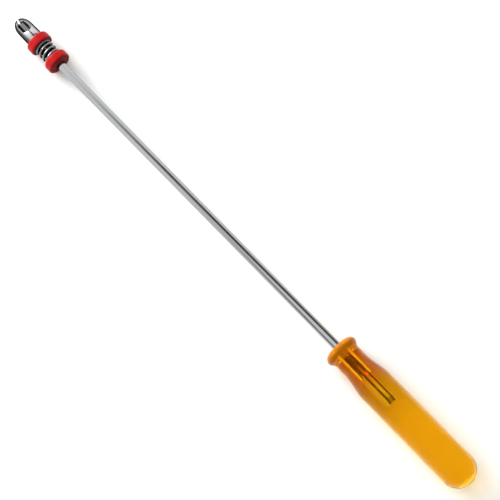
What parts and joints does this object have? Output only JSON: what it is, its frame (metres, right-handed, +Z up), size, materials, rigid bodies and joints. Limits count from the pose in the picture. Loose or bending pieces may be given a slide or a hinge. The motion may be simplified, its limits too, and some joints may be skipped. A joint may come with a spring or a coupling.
{
  "type": "screw holding screwdriver",
  "caption": "Long slotted screwdriver with a translucent amber handle, a bright round shank and a sprung red ring that closes spring jaws over the head of a screw.",
  "frame": {"origin": "on the surface that the tool lies on, under the middle of its length and of its width", "axes": "+X along the shank from the handle to the jaws, +Y towards the left jaw, +Z up out of the jaws' upper window"},
  "size_m": [0.3446, 0.0188, 0.0189],
  "materials": {
    "amber_acetate": "polished, translucent",
    "chromed_steel": "bright plated, fine drawn lines",
    "jaw_steel": "bright plated",
    "red_plastic": "moulded, semi gloss",
    "spring_steel": "bright drawn wire",
    "plain_steel": "turned"
  },
  "bodies": {
    "tool": {"handle": "amber_acetate", "shank": "chromed_steel", "jaw_tube": "jaw_steel", "rear_ring": "red_plastic", "rear_collar": "plain_steel", "cross_pin": "plain_steel", "closing_spring": "spring_steel"},
    "closing_ring": {"front_ring": "red_plastic", "closing_sleeve": "plain_steel"},
    "left_jaw": {"left_jaw": "jaw_steel"},
    "right_jaw": {"right_jaw": "jaw_steel"}
  },
  "joints": [
    {"name": "ring_slide", "type": "slide", "parent": "tool", "child": "closing_ring", "axis": [-1, 0, 0], "range_m": [0, 0.0046], "stiffness_N_per_m": 800, "deforming": ["closing_spring"]},
    {"name": "left_jaw_spread", "type": "hinge", "parent": "tool", "child": "left_jaw", "pos_m": [0.14797, 0.00335, 0.00944], "axis": [0, 0, 1], "range_deg": [0, 6.5]},
    {"name": "right_jaw_spread", "type": "hinge", "parent": "tool", "child": "right_jaw", "pos_m": [0.14797, -0.00335, 0.00944], "axis": [0, 0, -1], "range_deg": [0, 6.5]}
  ],
  "couplings": [
    {"joint": "left_jaw_spread", "follows": "ring_slide", "rad_per_m": 24.65},
    {"joint": "right_jaw_spread", "follows": "ring_slide", "rad_per_m": 24.65}
  ]
}
